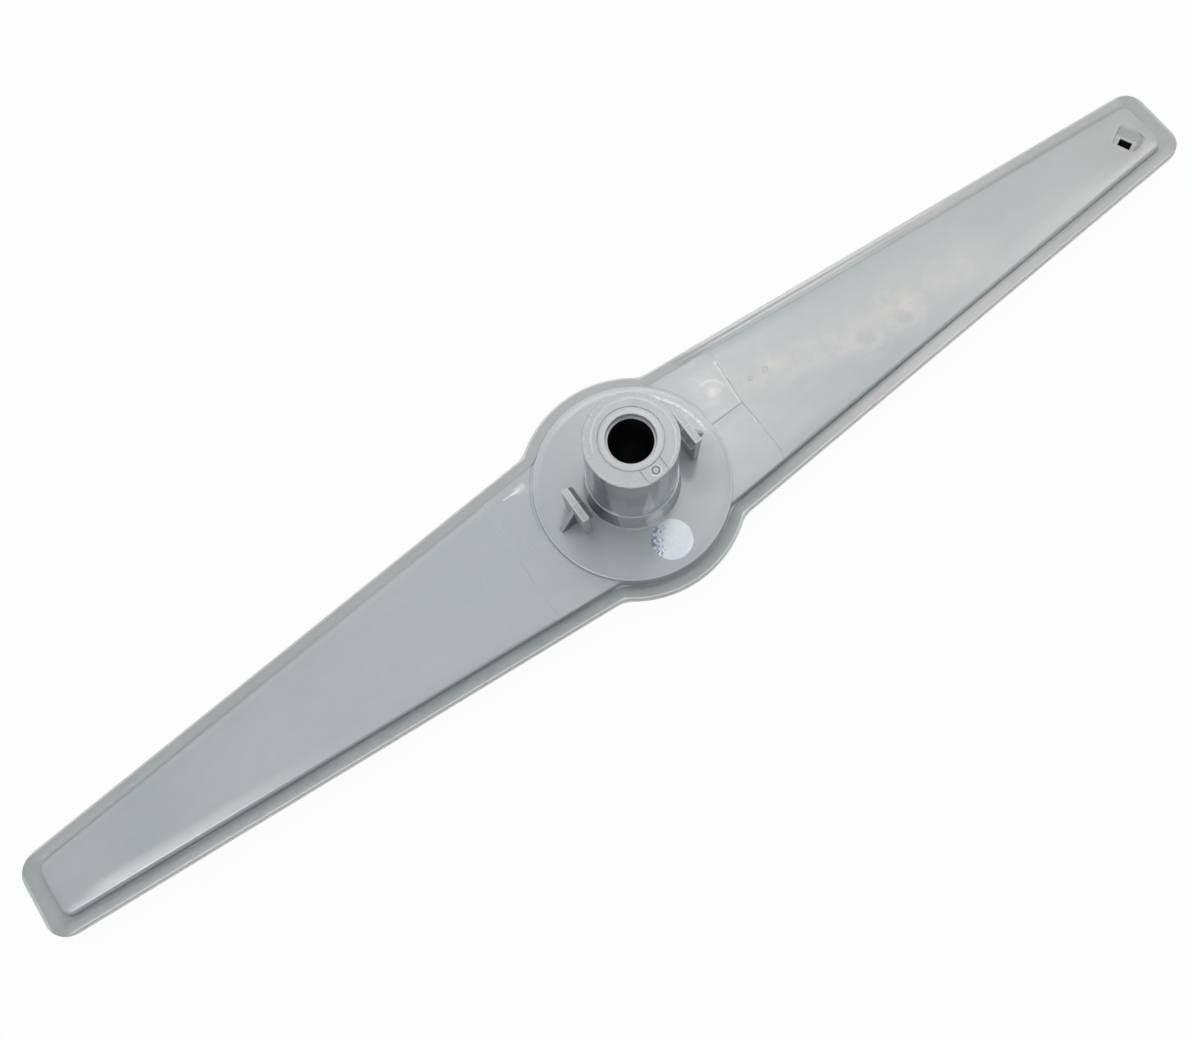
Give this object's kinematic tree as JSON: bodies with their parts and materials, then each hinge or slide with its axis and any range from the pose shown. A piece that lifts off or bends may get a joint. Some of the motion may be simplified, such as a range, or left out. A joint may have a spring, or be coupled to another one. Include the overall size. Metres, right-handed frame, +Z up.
{
  "type": "dishwasher spray arm",
  "caption": "Long tapered spray arm with a round hub, an upright hub tube with a bearing bore, snap hooks, a rim weld and spray slots underneath.",
  "frame": {"origin": "centre of the flat base under the hub, on the hub axis", "axes": "+Z up along the hub tube, out of its mouth; X along the arms, +X towards the tip with the jet"},
  "size_m": [0.46, 0.0772, 0.0658],
  "materials": {
    "shell_plastic": "satin grey moulded plastic",
    "label_film": "silvery film"
  },
  "bodies": {
    "root": {"lower_shell": "shell_plastic", "upper_shell": "shell_plastic", "hub_label": "label_film"}
  },
  "joints": []
}
